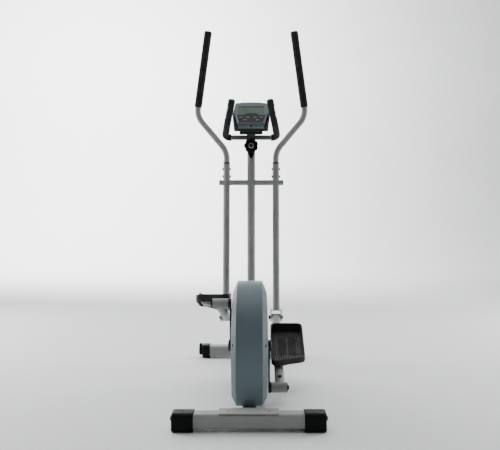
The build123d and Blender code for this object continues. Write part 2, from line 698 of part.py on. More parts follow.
# ---- Foot bars and pedals ----
for side_name, side in SIDES.items():
    bar_view = foot_plane(side)
    ahead = Plane(
        origin=bar_view.from_local_coords((0, 0, side * foot_x)),
        x_dir=(1, 0, 0),
        z_dir=bar_view.x_dir,
    )
    with BuildPart() as foot_bar:
        with BuildSketch(ahead) as tube:
            Circle(foot_radius)
        extrude(tube.sketch, amount=foot_length)
        rod(bar_view, 0, 0, hub_radius, *span(side, hub_low, hub_high))
        with BuildSketch(ahead.offset(hub_radius)) as bore:
            Circle(foot_radius - foot_wall)
        extrude(bore.sketch, amount=foot_length - hub_radius - bush_radius, mode=Mode.SUBTRACT)
        slab(bar_view, ((150, 21), (315, 21), (315, 25), (150, 25)), *span(side, 93, 202))
        for u in (158, 307):
            at = bar_view.from_local_coords((u, 0, 0))
            with BuildSketch(Plane(origin=at, x_dir=(1, 0, 0), z_dir=-bar_view.x_dir)) as gusset:
                with BuildLine():
                    Polyline(
                        (side * (foot_x + 16), 2),
                        (side * 196, 21),
                        (side * (foot_x + 16), 21),
                        close=True,
                    )
                make_face()
            extrude(gusset.sketch, amount=4)
        slab(bar_view, ((150, 14), (315, 14), (315, 22), (150, 22)), *span(side, foot_x - 14, foot_x - 10))
        slab(bar_view, ((150, 14), (315, 14), (315, 22), (150, 22)), *span(side, foot_x - 2, foot_x + 2))
        rod(bar_view, foot_length, 0, 30, *span(side, 60, bush_low), Mode.SUBTRACT)
        rod(bar_view, foot_length, 0, bush_radius, *span(side, bush_low, bush_high))
        rod(bar_view, foot_length, 0, bolt_radius + 1 + fit_gap, -200, 200, Mode.SUBTRACT)
        rod(bar_view, 0, 0, pin_radius + fit_gap, -200, 200, Mode.SUBTRACT)
        for x, u in pedal_bolts:
            with BuildSketch(level_plane(bar_view, foot_radius + 1)) as hole:
                with Locations((side * x, u)):
                    Circle(3.2)
            extrude(hole.sketch, amount=8, mode=Mode.SUBTRACT)
    save(f"{side_name}_foot_bar", foot_bar)

    top = tread + toe_height
    with BuildPart() as pedal:
        extrude(sole(bar_view, side, pedal_base), amount=top - pedal_base)
        extrude(sole(bar_view, side, tread, pedal_wall), amount=toe_height + 1, mode=Mode.SUBTRACT)
        brim = [(pedal_heel + along, tread + height) for along, height in pedal_brim]
        above = [(pedal_toe - 60, top + 50), (pedal_heel - 10, top + 50)]
        slab(bar_view, [*brim, *above], -300, 300, Mode.SUBTRACT)
        under = tread - tread_thick
        extrude(sole(bar_view, side, pedal_base, pedal_wall), amount=under - pedal_base, mode=Mode.SUBTRACT)
        for x in pedal_ribs:
            edge = side * x
            start = pedal_heel + 2 + pedal_skew * (x - pedal_low + 2) / (pedal_high - pedal_low)
            corners = (
                (start, pedal_base),
                (pedal_toe - 2, pedal_base),
                (pedal_toe - 2, under),
                (start, under),
            )
            slab(bar_view, corners, edge - 1.5, edge + 1.5)
        for u in range(160, 350, 48):
            corners = ((u, pedal_base), (u + 3, pedal_base), (u + 3, under), (u, under))
            slab(bar_view, corners, *span(side, pedal_low + 2, pedal_high - 2))
        with BuildSketch(level_plane(bar_view, tread)) as ridges:
            for column in tread_columns:
                with Locations((side * column, (pedal_heel + pedal_toe) / 2)):
                    with GridLocations(0, 9, 1, 16):
                        SlotOverall(30, 3)
        extrude(ridges.sketch, amount=1.2)
        for x, u in pedal_bolts:
            with BuildSketch(level_plane(bar_view, plate_top)) as boss:
                with Locations((side * x, u)):
                    Circle(8)
            extrude(boss.sketch, amount=under - plate_top + 1)
            with BuildSketch(level_plane(bar_view, plate_top - 1)) as hole:
                with Locations((side * x, u)):
                    Circle(3.2)
            extrude(hole.sketch, amount=30, mode=Mode.SUBTRACT)
            with BuildSketch(level_plane(bar_view, tread - 0.01)) as seat:
                with Locations((side * x, u)):
                    Circle(7)
            extrude(seat.sketch, amount=5, mode=Mode.SUBTRACT)
    save(f"{side_name}_pedal", pedal)

    with BuildPart() as foot_bar_bolts:
        for x, u in pedal_bolts:
            spot = (side * x, u)
            for low, high, radius in ((foot_radius, tread, 3.1), (tread + 0.05, tread + 3, 6)):
                with BuildSketch(level_plane(bar_view, low)) as profile:
                    with Locations(spot):
                        Circle(radius)
                extrude(profile.sketch, amount=high - low + 0.05)
        rod(bar_view, foot_length, 0, bolt_radius + 1, *span(side, 86, 149))
        rod(bar_view, foot_length, 0, 9, *span(side, 83.5, fork_low - 0.5))
        nut(bar_view, foot_length, 0, 9, *span(side, fork_high + 0.5, 151))
        with BuildSketch(level_plane(bar_view, foot_radius + fit_gap)) as head:
            with Locations((side * foot_x, 45)):
                RegularPolygon(8, 6)
        extrude(head.sketch, amount=5)
    save(f"{side_name}_foot_bar_bolts", foot_bar_bolts)

    with BuildPart() as crank_pin:
        rod(bar_view, 0, 0, pin_radius, *span(side, crank_outer + 0.5, hub_high + 3))
        rod(bar_view, 0, 0, 17, *span(side, crank_outer + 0.5, hub_low - 0.1))
        rod(bar_view, 0, 0, 18, *span(side, hub_high + 0.3, hub_high + 2.5))
        nut(bar_view, 0, 0, 9, *span(side, hub_high + 2.5, hub_high + 8))
    save(f"{side_name}_crank_pin", crank_pin)

# ---- Fixed handlebar, clamp and knob ----
right_half = [pulse_corner, pulse_knee, pulse_end]
left_half = [(-x, y, z) for x, y, z in reversed(right_half)]
with BuildPart() as fixed_handlebar:
    loop = bent_path([*left_half, *right_half], (*reversed(pulse_bends), *pulse_bends))
    pipe(loop, pulse_radius, pulse_radius - pulse_wall)
save("fixed_handlebar", fixed_handlebar)

with BuildPart() as fixed_grips:
    sleeve = bent_path([(pulse_grip_start, pulse_y, pulse_z), *right_half], pulse_bends)
    pipe(sleeve, pulse_grip, pulse_radius + fit_gap)
    tip = Vector(*pulse_end)
    reach = (tip - Vector(*pulse_knee)).normalized()
    with BuildSketch(Plane(origin=tip, z_dir=reach)) as end_disc:
        Circle(pulse_grip)
    extrude(end_disc.sketch, amount=6)
    fillet(fixed_grips.faces().sort_by(Axis.Z)[-1].edges(), 5)
    mirror(about=Plane.YZ)
save("fixed_grips", fixed_grips)

with BuildPart() as pulse_plates:
    knee = Vector(*pulse_knee)
    for low, high in pulse_plate_spans:
        facing = Plane(origin=knee + reach * low, x_dir=(1, 0, 0.2), z_dir=reach)
        with BuildSketch(facing) as sector:
            Circle(pulse_grip + 1)
            Circle(pulse_grip + fit_gap, mode=Mode.SUBTRACT)
            with BuildLine():
                Polyline((0, 0), (40, -34), (40, 34), close=True)
            make_face(mode=Mode.INTERSECT)
        extrude(sector.sketch, amount=high - low)
    mirror(about=Plane.YZ)
save("pulse_plates", pulse_plates)

with BuildPart() as handlebar_clamp:
    block((-clamp_half, pulse_y - 21, mast_top), (clamp_half, mast_y + mast_radius, clamp_top))
    fillet(handlebar_clamp.edges().filter_by(Axis.X), 8)
    with BuildSketch(Plane.XY.offset(mast_top + 1)) as spigot:
        with Locations((0, mast_y)):
            Circle(mast_radius - mast_wall - fit_gap)
    extrude(spigot.sketch, amount=-56)
    rod(side_view, pulse_y, pulse_z, pulse_radius + fit_gap, -50, 50, Mode.SUBTRACT)
    rod(rear_facing(mast_y + 30), 0, knob_z, stud_radius + 0.5, 0, 80, Mode.SUBTRACT)
save("handlebar_clamp", handlebar_clamp)

with BuildPart() as clamp_cover:
    link(rear_facing(mast_y - 14), ((0, knob_z, 27), (0, 990, 8)), 0, 24)
    fillet(clamp_cover.faces().sort_by(Axis.Y)[0].edges(), 4)
    with BuildSketch(Plane.XY.offset(950)) as shaft:
        with Locations((0, mast_y)):
            Circle(mast_radius + fit_gap)
    extrude(shaft.sketch, amount=150, mode=Mode.SUBTRACT)
    rod(rear_facing(mast_y), 0, knob_z, stud_radius + 0.5, 0, 60, Mode.SUBTRACT)
save("clamp_cover", clamp_cover)

with BuildPart() as clamp_knob:
    with BuildSketch(rear_facing(knob_back)) as star:
        with Locations((0, knob_z)):
            Circle(knob_radius)
            with PolarLocations(knob_radius + 4, knob_lobes):
                Circle(8, mode=Mode.SUBTRACT)
    extrude(star.sketch, amount=knob_back - knob_front)
    fillet(clamp_knob.faces().sort_by(Axis.Y)[0].edges(), 3)
    rod(rear_facing(knob_front), 0, knob_z, 12, -5, 2, Mode.SUBTRACT)
    rod(rear_facing(knob_front), 0, knob_z, 6, -6, -1)
    rod(rear_facing(mast_y - 12), 0, knob_z, stud_radius, 0, mast_y - 12 - knob_back + 2)
save("clamp_knob", clamp_knob)

# ---- Console ----
tilt_in, tilt_up = cos(radians(console_tilt)), sin(radians(console_tilt))
face_view = Plane(origin=console_origin, x_dir=(1, 0, 0), z_dir=(0, -tilt_up, tilt_in))
edge_view = Plane(origin=console_origin, x_dir=face_view.y_dir, z_dir=(1, 0, 0))


def shell(profile, crown, inset, low, high, mode=Mode.ADD):
    """A slab of the console between two depths: half an outline, mirrored, with an arched top."""
    right = [(x - inset, y + inset if y < 20 else y) for x, y in profile]
    right[-1] = (right[-1][0], right[-1][1] - inset)
    left = [(-x, y) for x, y in reversed(right)]
    with BuildSketch(face_view.offset(low)) as face:
        with BuildLine():
            Polyline(left[0], *left[1:], *right)
            ThreePointArc(right[-1], (0, crown - inset), left[0])
        make_face()
    extrude(face.sketch, amount=high - low, mode=mode)


def button_wells(grow, low, high, mode=Mode.ADD):
    """Oval prisms at every button's place."""
    with BuildSketch(face_view.offset(low)) as ovals:
        for x, y in buttons:
            with Locations((x, y)):
                SlotOverall(17 + 2 * grow, 9 + 2 * grow)
    extrude(ovals.sketch, amount=high - low, mode=mode)


with BuildPart() as console_front:
    shell(front_profile, 166, 0, -console_split, 0)
    front_rim = console_front.faces().filter_by(face_view).sort_by(Axis(face_view.origin, face_view.z_dir))
    chamfer(front_rim[-1].edges(), 2.5)
    shell(front_profile, 166, 4, -console_split - 1, -8, Mode.SUBTRACT)
    slab(edge_view, ((0.1, 0), (0.1, -console_split), (-13, -console_split), (-10, -9)), -60, 60)
    with BuildSketch(face_view.offset(-3)) as recess:
        with Locations((0, window_middle)):
            RectangleRounded(2 * window_half + 0.6, window_height + 0.6, 3)
    extrude(recess.sketch, amount=10, mode=Mode.SUBTRACT)
    button_wells(0.4, -20, 10, Mode.SUBTRACT)
save("console_front", console_front)

with BuildPart() as display_window:
    with BuildSketch(face_view.offset(-2.9)) as glass:
        with Locations((0, window_middle)):
            RectangleRounded(2 * window_half, window_height, 2.7)
    extrude(glass.sketch, amount=2.6)
save("display_window", display_window)

for number, (x, y) in enumerate(buttons, start=1):
    with BuildPart() as button:
        with BuildSketch(face_view.offset(-6.5)) as oval:
            with Locations((x, y)):
                SlotOverall(17, 9)
        extrude(oval.sketch, amount=6.5 + button_height)
        outer = button.faces().filter_by(face_view).sort_by(Axis(face_view.origin, face_view.z_dir))
        fillet(outer[-1].edges(), 1)
    save(f"button_{number}", button)

with BuildPart() as console_back:
    shell(back_profile, 167.5, 0, -console_depth, -console_split)
    back_rim = console_back.faces().filter_by(face_view).sort_by(Axis(face_view.origin, face_view.z_dir))
    chamfer(back_rim[0].edges(), 8)
    shell(back_profile, 167.5, 10, -console_depth + 3, -console_split + 1, Mode.SUBTRACT)
save("console_back", console_back)

with BuildPart() as console_bracket:
    slab(side_view, bracket_tray, -54, 54)
    slab(side_view, bracket_neck, -24, 24)
save("console_bracket", console_bracket)
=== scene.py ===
"""Looks, camera and light for the elliptical trainer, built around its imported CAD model."""
import json
import math
import bmesh
import bpy
from mathutils import Matrix, Vector


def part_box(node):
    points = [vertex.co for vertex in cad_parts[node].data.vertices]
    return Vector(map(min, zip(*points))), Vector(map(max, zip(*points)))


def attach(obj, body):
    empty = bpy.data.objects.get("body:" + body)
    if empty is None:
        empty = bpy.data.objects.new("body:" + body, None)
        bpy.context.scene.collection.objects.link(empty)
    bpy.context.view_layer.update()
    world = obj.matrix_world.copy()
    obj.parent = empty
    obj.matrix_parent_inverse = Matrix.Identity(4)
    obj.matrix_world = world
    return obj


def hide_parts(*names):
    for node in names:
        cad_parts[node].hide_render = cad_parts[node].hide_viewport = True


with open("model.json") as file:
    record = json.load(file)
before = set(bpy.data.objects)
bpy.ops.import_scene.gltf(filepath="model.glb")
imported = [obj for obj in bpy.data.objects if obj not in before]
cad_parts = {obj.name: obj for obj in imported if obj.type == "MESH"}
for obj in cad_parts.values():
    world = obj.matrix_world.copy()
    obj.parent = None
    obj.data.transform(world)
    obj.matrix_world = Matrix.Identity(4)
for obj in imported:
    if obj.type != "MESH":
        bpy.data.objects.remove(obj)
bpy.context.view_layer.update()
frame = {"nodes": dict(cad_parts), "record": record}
NODES = frame["nodes"]
SIDES = {"left": -1, "right": 1}
X_AXIS = Vector((1, 0, 0))
Z_AXIS = Vector((0, 0, 1))
CAD_SHARP_ANGLE = 32    # degrees: edges of the CAD parts above this stay sharp
NOISE_LOW = 0.3         # a noise texture's values lie mostly between these two
NOISE_HIGH = 0.7


# ---- Materials ----
def node_tree(name):
    """A new material with its tree, its shader and its texture coordinates."""
    mat = bpy.data.materials.new(name)
    mat.use_nodes = True
    tree = mat.node_tree
    tree.nodes.clear()
    out = tree.nodes.new("ShaderNodeOutputMaterial")
    shader = tree.nodes.new("ShaderNodeBsdfPrincipled")
    tree.links.new(shader.outputs["BSDF"], out.inputs["Surface"])
    coords = tree.nodes.new("ShaderNodeTexCoord")
    return mat, tree, shader, coords


def noise(tree, coords, scale, detail=3.0, stretch=None):
    """A noise texture's value, in object coordinates, optionally stretched."""
    tex = tree.nodes.new("ShaderNodeTexNoise")
    tex.inputs["Scale"].default_value = scale
    tex.inputs["Detail"].default_value = detail
    source = coords.outputs["Object"]
    if stretch:
        mapping = tree.nodes.new("ShaderNodeMapping")
        mapping.inputs["Scale"].default_value = stretch
        tree.links.new(source, mapping.inputs["Vector"])
        source = mapping.outputs["Vector"]
    tree.links.new(source, tex.inputs["Vector"])
    return tex.outputs["Fac"]


def ramp(tree, value, low, high):
    """Colours spread over a value, from one (position, colour) pair to another."""
    node = tree.nodes.new("ShaderNodeValToRGB")
    for element, (position, colour) in zip(node.color_ramp.elements, (low, high)):
        element.position = position
        element.color = (*colour, 1)
    tree.links.new(value, node.inputs["Fac"])
    return node.outputs["Color"]


def spread(tree, value, low, high):
    """A noise's usual values mapped to a range."""
    node = tree.nodes.new("ShaderNodeMapRange")
    node.inputs["From Min"].default_value = NOISE_LOW
    node.inputs["From Max"].default_value = NOISE_HIGH
    node.inputs["To Min"].default_value = low
    node.inputs["To Max"].default_value = high
    tree.links.new(value, node.inputs["Value"])
    return node.outputs["Result"]


def bump(tree, shader, height, distance):
    """Surface relief from a height value."""
    node = tree.nodes.new("ShaderNodeBump")
    node.inputs["Strength"].default_value = 1.0
    node.inputs["Distance"].default_value = distance
    tree.links.new(height, node.inputs["Height"])
    tree.links.new(node.outputs["Normal"], shader.inputs["Normal"])


def shade(colour, factor):
    """A colour made lighter or darker."""
    return tuple(channel * factor for channel in colour)


def finish_material(name, colour, rough, mottle, patch, grain, relief,
                    metallic=0.0, stretch=None, specks=0.0, gloss=0.5):
    """A surface with soft tone changes, fine grain, uneven gloss and optional specks."""
    mat, tree, shader, coords = node_tree(name)
    tone = ramp(tree, noise(tree, coords, patch, detail=5.0),
                (NOISE_LOW, shade(colour, 1 - mottle)), (NOISE_HIGH, shade(colour, 1 + mottle)))
    if specks:
        fleck = ramp(tree, noise(tree, coords, grain * 0.6, detail=2.0),
                     (0.56, (0, 0, 0)), (0.7, (1, 1, 1)))
        mix = tree.nodes.new("ShaderNodeMix")
        mix.data_type = "RGBA"
        mix.inputs["B"].default_value = (*shade(colour, 1 + specks), 1)
        tree.links.new(fleck, mix.inputs["Factor"])
        tree.links.new(tone, mix.inputs["A"])
        tone = mix.outputs["Result"]
    tree.links.new(tone, shader.inputs["Base Color"])
    uneven = noise(tree, coords, patch * 4, detail=6.0)
    tree.links.new(spread(tree, uneven, *rough), shader.inputs["Roughness"])
    shader.inputs["Metallic"].default_value = metallic
    shader.inputs["Specular IOR Level"].default_value = gloss
    bump(tree, shader, noise(tree, coords, grain, detail=2.0, stretch=stretch), relief)
    return mat


# Each line: name, colour, roughness range, mottle, patch scale, grain scale, relief in metres.
PAINT = finish_material(
    "silver_paint", (0.315, 0.32, 0.312), (0.42, 0.55), 0.07, 9, 1400, 0.00006, specks=0.3, gloss=0.16)
GRAPHITE = finish_material(
    "graphite_paint", (0.05, 0.052, 0.05), (0.4, 0.55), 0.1, 12, 1200, 0.00006, specks=0.3, gloss=0.16)
GREY_PAINT = finish_material(
    "grey_paint", (0.13, 0.133, 0.13), (0.4, 0.55), 0.1, 12, 1200, 0.00006, specks=0.3, gloss=0.16)
BLACK_PAINT = finish_material(
    "black_paint", (0.014, 0.014, 0.015), (0.35, 0.5), 0.2, 12, 900, 0.00008, gloss=0.25)
CAP = finish_material(
    "cap_plastic", (0.0045, 0.005, 0.0055), (0.5, 0.65), 0.25, 20, 1100, 0.00025, gloss=0.12)
PEDAL = finish_material(
    "pedal_plastic", (0.036, 0.036, 0.035), (0.5, 0.68), 0.25, 24, 900, 0.0003, gloss=0.2)
HOUSING = finish_material(
    "housing_plastic", (0.143, 0.192, 0.216), (0.36, 0.46), 0.05, 6, 1600, 0.00005, gloss=0.2)
COVER = finish_material(
    "cover_plastic", (0.085, 0.120, 0.128), (0.36, 0.48), 0.05, 6, 1600, 0.00005, gloss=0.2)
CONSOLE = finish_material(
    "console_plastic", (0.125, 0.160, 0.172), (0.36, 0.48), 0.06, 16, 1500, 0.00006, gloss=0.2)
BLACK = finish_material(
    "black_plastic", (0.008, 0.009, 0.010), (0.42, 0.58), 0.2, 18, 1200, 0.00015, gloss=0.2)
PANEL = finish_material(
    "panel_plastic", (0.012, 0.016, 0.017), (0.4, 0.55), 0.15, 30, 1500, 0.00006, gloss=0.14)
TRIM = finish_material(
    "trim_plastic", (0.21, 0.225, 0.23), (0.35, 0.45), 0.06, 40, 1500, 0.00004, gloss=0.25)
FOAM = finish_material(
    "foam", (0.027, 0.027, 0.0275), (0.82, 0.95), 0.3, 60, 700, 0.0006, gloss=0.12)
BELT = finish_material(
    "belt_rubber", (0.02, 0.02, 0.02), (0.6, 0.8), 0.2, 30, 800, 0.0003)
DRIVE = finish_material(
    "drive_plastic", (0.05, 0.05, 0.052), (0.4, 0.55), 0.15, 20, 900, 0.0002)
BUSH = finish_material(
    "bush_plastic", (0.30, 0.30, 0.285), (0.4, 0.55), 0.06, 30, 900, 0.0001, gloss=0.2)
STEEL = finish_material(
    "steel", (0.36, 0.36, 0.355), (0.3, 0.45), 0.1, 30, 700, 0.0001, metallic=0.9, stretch=(8, 1, 1))
BLACK_STEEL = finish_material(
    "black_steel", (0.016, 0.016, 0.017), (0.4, 0.55), 0.25, 60, 900, 0.0001, gloss=0.2)
CAST = finish_material(
    "cast_flywheel", (0.12, 0.12, 0.125), (0.4, 0.6), 0.2, 40, 500, 0.0004, metallic=0.8)
SENSOR = finish_material(
    "sensor_steel", (0.62, 0.63, 0.64), (0.16, 0.28), 0.05, 40, 900, 0.00005,
    metallic=1.0, stretch=(1, 1, 6))
BUTTON = finish_material(
    "button_plastic", (0.13, 0.155, 0.16), (0.3, 0.42), 0.08, 80, 1800, 0.00005, gloss=0.25)
# The studs' light grey is a painted highlight: it is much lighter than the pedal plastic, so the bumps
# show as bright dots.
STUD_HIGHLIGHT = finish_material(
    "stud_painted_highlight", (0.19, 0.19, 0.198), (0.35, 0.5), 0.2, 90, 1500, 0.00005, gloss=0.4)
SLOT_MATERIALS = {
    "frame_paint": PAINT, "black_paint": BLACK_PAINT, "cap_plastic": CAP, "pedal_plastic": PEDAL,
    "housing_plastic": HOUSING, "cover_plastic": COVER, "console_plastic": CONSOLE,
    "black_plastic": BLACK, "drive_plastic": DRIVE, "foam": FOAM, "belt_rubber": BELT,
    "bush_plastic": BUSH, "steel": STEEL, "black_steel": BLACK_STEEL, "cast_flywheel": CAST,
    "sensor_steel": SENSOR, "window": BLACK, "button_plastic": BUTTON,
}
NODE_MATERIALS = {
    "pivot_axle": GRAPHITE, "fixed_handlebar": GREY_PAINT, "handlebar_clamp": GREY_PAINT,
}
for part in frame["record"]["subparts"]:
    node = NODES[part["node"]]
    slot_material = SLOT_MATERIALS[part["material_slot"]]
    node.data.materials.clear()
    node.data.materials.append(NODE_MATERIALS.get(part["node"], slot_material))
    node.data.shade_smooth()
    node.data.set_sharp_from_angle(angle=math.radians(CAD_SHARP_ANGLE))


# ---- Camera, floor and light ----
CAMERA_PLACE = (0.0265, -2.726, 0.806)
LENS = 46.66
SENSOR_WIDTH = 36.0
CAMERA_SHIFT = (-0.0134, -0.06)
CLIP_END = 60.0
camera_data = bpy.data.cameras.new("camera")
camera_data.lens = LENS
camera_data.sensor_width = SENSOR_WIDTH
camera_data.shift_x, camera_data.shift_y = CAMERA_SHIFT
camera_data.clip_end = CLIP_END
camera = bpy.data.objects.new("camera", camera_data)
camera.location = CAMERA_PLACE
camera.rotation_euler = (math.radians(90), 0, 0)
bpy.context.collection.objects.link(camera)
bpy.context.scene.camera = camera

FLOOR_NEAR = -7.0
FLOOR_FAR = 4.5         # where the floor starts to curve up
FLOOR_HALF_WIDTH = 9.0
SWEEP_RADIUS = 2.5
SWEEP_STEPS = 16
BACKDROP_TOP = 8.0


def link(name, mesh):
    """A new object holding a mesh."""
    obj = bpy.data.objects.new(name, mesh)
    bpy.context.collection.objects.link(obj)
    return obj


def sweep_floor():
    """A pale floor that curves up into a backdrop far in front of the machine."""
    profile = [(FLOOR_NEAR, 0.0), (FLOOR_FAR, 0.0)]
    for step in range(1, SWEEP_STEPS + 1):
        angle = math.radians(90 * step / SWEEP_STEPS)
        profile.append((FLOOR_FAR + SWEEP_RADIUS * math.sin(angle),
                        SWEEP_RADIUS - SWEEP_RADIUS * math.cos(angle)))
    profile.append((FLOOR_FAR + SWEEP_RADIUS, BACKDROP_TOP))
    mesh = bpy.data.meshes.new("floor")
    build = bmesh.new()
    edges = (-FLOOR_HALF_WIDTH, FLOOR_HALF_WIDTH)
    rows = [[build.verts.new((x, y, z)) for x in edges] for y, z in profile]
    for near, far in zip(rows, rows[1:]):
        build.faces.new((near[0], near[1], far[1], far[0]))
    build.to_mesh(mesh)
    build.free()
    mesh.shade_smooth()
    return link("floor", mesh)


floor = sweep_floor()
floor.data.materials.append(
    finish_material("studio_paper", (0.91, 0.92, 0.925), (0.7, 0.85), 0.01, 0.6, 120, 0.0002))


def area_light(name, place, target, size, power):
    """A soft box aimed at a point."""
    light = bpy.data.lights.new(name, "AREA")
    light.shape = "RECTANGLE"
    light.size, light.size_y = size
    light.energy = power
    obj = bpy.data.objects.new(name, light)
    obj.location = place
    aim = Vector(target) - Vector(place)
    obj.rotation_euler = aim.to_track_quat("-Z", "Y").to_euler()
    bpy.context.collection.objects.link(obj)


area_light("left_box", (-2.7, 1.0, 1.4), (0, 0, 0.8), (1.0, 2.6), 80)
area_light("right_box", (2.7, 1.2, 1.4), (0, 0, 0.8), (1.0, 2.6), 70)
area_light("top_box", (-0.4, 0.6, 3.8), (0, 0.1, 0), (3.6, 3.4), 84)
area_light("back_wash", (-2.4, 3.0, 3.2), (-2.0, 7.0, 2.2), (5.0, 2.0), 1000)

WORLD_COLOUR = (0.93, 0.96, 1.0, 1)
WORLD_STRENGTH = 0.17
world = bpy.data.worlds.new("studio")
world.use_nodes = True
sky = world.node_tree.nodes["Background"]
sky.inputs["Color"].default_value = WORLD_COLOUR
sky.inputs["Strength"].default_value = WORLD_STRENGTH
bpy.context.scene.world = world


# ---- Shapes ----
BEND_STEP = 0.006       # distance between points on a rounded corner
SLEEVE_SEGMENTS = 40
LATHE_SEGMENTS = 48
PIECE_SHARP_ANGLE = 40  # degrees
WELD_RIPPLES = 24
WELD_SEGMENTS = 72
WELD_SECTION = 8


def bent_points(points, radii):
    """Points along straight runs and rounded corners."""
    corners = [Vector(point) for point in points]
    path = [corners[0]]
    for before, corner, after, radius in zip(corners, corners[1:], corners[2:], radii):
        incoming = (corner - before).normalized()
        outgoing = (after - corner).normalized()
        turn = incoming.angle(outgoing)
        setback = radius * math.tan(turn / 2)
        centre = corner + (outgoing - incoming).normalized() * (radius / math.cos(turn / 2))
        axis = incoming.cross(outgoing).normalized()
        arm = corner - incoming * setback - centre
        count = max(6, int(radius * turn / BEND_STEP))
        path += [centre + Matrix.Rotation(turn * i / count, 3, axis) @ arm
                 for i in range(count + 1)]
    path.append(corners[-1])
    return path


def evenly(path, step):
    """The same line with a point about every step."""
    out = [path[0]]
    for a, b in zip(path, path[1:]):
        count = max(1, round((b - a).length / step))
        out += [a.lerp(b, i / count) for i in range(1, count + 1)]
    return out


def circle(build, centre, side, up, radius, segments):
    """A ring of vertices around a centre, in the plane of two directions."""
    angles = [2 * math.pi * k / segments for k in range(segments)]
    return [build.verts.new(centre + (side * math.cos(a) + up * math.sin(a)) * radius)
            for a in angles]


def bridge(build, near, far):
    """A band of faces between two rings of the same length."""
    count = len(near)
    for k in range(count):
        build.faces.new((near[k], near[(k + 1) % count], far[(k + 1) % count], far[k]))


def across_axis(axis):
    """Two directions square to an axis and to each other."""
    side = axis.orthogonal().normalized()
    return side, axis.cross(side)


def piece(name, build, material, body, angle=PIECE_SHARP_ANGLE):
    """A finished piece from a bmesh, riding on a body."""
    mesh = bpy.data.meshes.new(name)
    bmesh.ops.recalc_face_normals(build, faces=build.faces)
    build.to_mesh(mesh)
    build.free()
    mesh.shade_smooth()
    mesh.set_sharp_from_angle(angle=math.radians(angle))
    obj = link(name, mesh)
    mesh.materials.append(material)
    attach(obj, body)
    return obj


def tube(name, path, radius_at, material, body, segments=SLEEVE_SEGMENTS):
    """A round sleeve along a path, whose radius is given by the distances from both ends."""
    lengths = [0.0]
    for a, b in zip(path, path[1:]):
        lengths.append(lengths[-1] + (b - a).length)
    build = bmesh.new()
    side = (path[1] - path[0]).orthogonal()
    last = len(path) - 1
    rings = []
    for i, point in enumerate(path):
        ahead = (path[min(i + 1, last)] - path[max(i - 1, 0)]).normalized()
        side = (side - ahead * side.dot(ahead)).normalized()
        radius = radius_at(lengths[i], lengths[-1] - lengths[i])
        rings.append(circle(build, point, side, ahead.cross(side), radius, segments))
    for near, far in zip(rings, rings[1:]):
        bridge(build, near, far)
    build.faces.new(rings[0][::-1])
    build.faces.new(rings[-1])
    return piece(name, build, material, body)


def lathe(name, place, axis, profile, material, body):
    """A turned ring or disc: (radius, height) pairs around an axis through a place."""
    build = bmesh.new()
    axis = Vector(axis).normalized()
    side, up = across_axis(axis)
    rings = [circle(build, Vector(place) + axis * height, side, up, radius, LATHE_SEGMENTS)
             for radius, height in profile]
    for near, far in zip(rings, rings[1:] + rings[:1]):
        bridge(build, near, far)
    return piece(name, build, material, body)


def ring_profile(inner, outer, low, high, soft=0.0008):
    """The outline of a ring with softened outer corners."""
    return [(inner, low), (outer - soft, low), (outer, low + soft), (outer, high - soft),
            (outer - soft, high), (inner, high)]


def weld(name, place, axis, radius, body, bead):
    """A weld bead around a tube: a ring of overlapping ripples."""
    build = bmesh.new()
    axis = Vector(axis).normalized()
    side, up = across_axis(axis)
    rings = []
    for k in range(WELD_SEGMENTS):
        angle = 2 * math.pi * k / WELD_SEGMENTS
        out = side * math.cos(angle) + up * math.sin(angle)
        size = bead * (1.0 + 0.18 * math.sin(angle * WELD_RIPPLES))
        rings.append(circle(build, Vector(place) + out * radius, out, axis, size, WELD_SECTION))
    for near, far in zip(rings, rings[1:] + rings[:1]):
        bridge(build, near, far)
    return piece(name, build, PAINT, body, 80)


# ---- Foam grips ----
FINE_STEP = 0.0006      # point spacing at a sleeve's rounded ends
FINE_LENGTH = 0.012     # how far from each end the fine spacing goes
COARSE_STEP = 0.006     # point spacing in between


def foam_radius(outer, open_round, end_round):
    """Radius of a sleeve whose open edge is softened and whose end is domed."""
    def softened(rounding, distance):
        """The radius close to an end with this rounding."""
        if distance >= rounding:
            return outer
        return outer - rounding + math.sqrt(max(0.0, rounding**2 - (rounding - distance) ** 2))

    def radius(start, end):
        """The radius at these distances from the open edge and from the end."""
        value = softened(open_round, start) if end >= end_round else softened(end_round, end)
        return max(value, outer * 0.25)
    return radius


def fine_ends(path):
    """A path with close points near both ends, so that the rounding there is smooth."""
    dense = evenly(path, FINE_STEP)
    total = len(dense)
    near = int(FINE_LENGTH / FINE_STEP)
    skip = max(1, int(COARSE_STEP / FINE_STEP))
    keep = [*range(near), *range(near, total - near, skip), *range(total - near, total)]
    return [dense[i] for i in keep]


KNEE = (0.2643, 0.430, 1.1895)      # the upper handlebar's bend on the right side
TOP = (0.2062, 0.385, 1.588)        # its upper end
GRIP_FOOT_Z = 1.233
GRIP_RADIUS = 0.0182
GRIP_TIP = 0.004                    # foam past the tube's end
for name, side in SIDES.items():
    knee = Vector((side * KNEE[0], KNEE[1], KNEE[2]))
    top = Vector((side * TOP[0], TOP[1], TOP[2]))
    rise = (top - knee).normalized()
    foot = top - rise * ((top.z - GRIP_FOOT_Z) / rise.z)
    grip = tube(f"{name}_grip_foam", fine_ends([foot, top + rise * GRIP_TIP]),
                foam_radius(GRIP_RADIUS, 0.002, 0.007), FOAM, f"{name}_arm")
    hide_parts(f"{name}_handlebar_grip")

